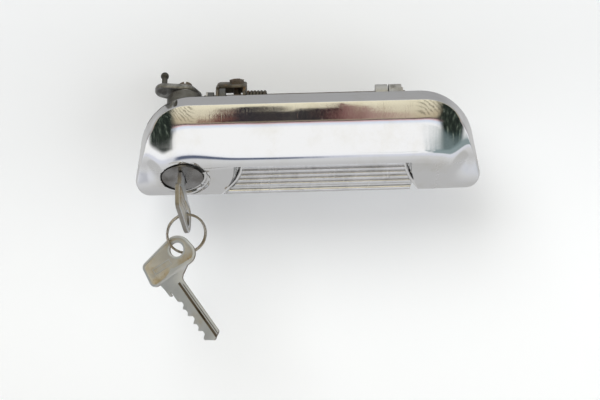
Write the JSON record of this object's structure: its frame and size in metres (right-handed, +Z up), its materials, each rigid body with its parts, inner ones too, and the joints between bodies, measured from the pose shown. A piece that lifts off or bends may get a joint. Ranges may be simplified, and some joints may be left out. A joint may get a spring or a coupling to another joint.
{
  "type": "car door handle",
  "caption": "Chrome pull-flap car door handle with a key lock, a key in the lock and a spare key on a split ring.",
  "frame": {"origin": "midpoint between the two mounting studs, in the plane of the casting's back flange", "axes": "+X along the handle to the right as seen from outside the car, +Y into the door, +Z up"},
  "size_m": [0.1774, 0.0729, 0.1269],
  "materials": {
    "chrome": "polished, with fine scratches",
    "steel": "plated steel, dulled",
    "rusty_steel": "tarnished and rusty",
    "dark_casting": "oxidised casting",
    "lock_metal": "dull plated",
    "wafer_brass": "plain",
    "key_metal": "worn nickel with brassy stains"
  },
  "bodies": {
    "housing": {"handle_body": "chrome", "mounting_studs": "steel", "pivot_pin": "steel", "pin_clips": "steel", "torsion_spring": "rusty_steel", "lock_barrel": "steel", "barrel_grub_screw": "steel"},
    "flap": {"pull_flap": "chrome", "release_lever": "rusty_steel", "adjusting_screw": "rusty_steel", "adjusting_locknut": "rusty_steel"},
    "lock": {"lock_plug": "lock_metal", "lock_face": "lock_metal", "tumbler_wafers": "wafer_brass", "plug_circlip": "steel", "lock_lever": "dark_casting", "ball_stud": "dark_casting", "lever_washer": "steel", "lever_screw": "steel"},
    "inserted_key": {"door_key": "key_metal"},
    "ring": {"key_ring": "steel"},
    "spare": {"spare_key": "key_metal"}
  },
  "joints": [
    {"name": "flap_swing", "type": "hinge", "parent": "housing", "child": "flap", "pos_m": [0, 0.011, 0.0223], "axis": [-1, 0, 0], "range_deg": [0, 14], "stiffness_Nm_per_rad": 0.4, "springref_deg": -17.19, "deforming": ["torsion_spring"]},
    {"name": "lock_turn", "type": "hinge", "parent": "housing", "child": "lock", "pos_m": [-0.0635, -0.0133, -0.0145], "axis": [0, 0.7071, 0.7071], "range_deg": [-75, 75]},
    {"name": "key_withdraw", "type": "slide", "parent": "lock", "child": "inserted_key", "axis": [0, -0.7071, -0.7071], "range_m": [0, 0.036]},
    {"name": "ring_swing", "type": "hinge", "parent": "inserted_key", "child": "ring", "pos_m": [-0.06221, -0.01788, -0.03396], "axis": [1, 0, 0], "range_deg": [-60, 12]},
    {"name": "spare_swing", "type": "hinge", "parent": "ring", "child": "spare", "pos_m": [-0.06719, -0.02003, -0.04927], "axis": [0.7969, 0.231, -0.5583], "range_deg": [-20, 20]}
  ]
}
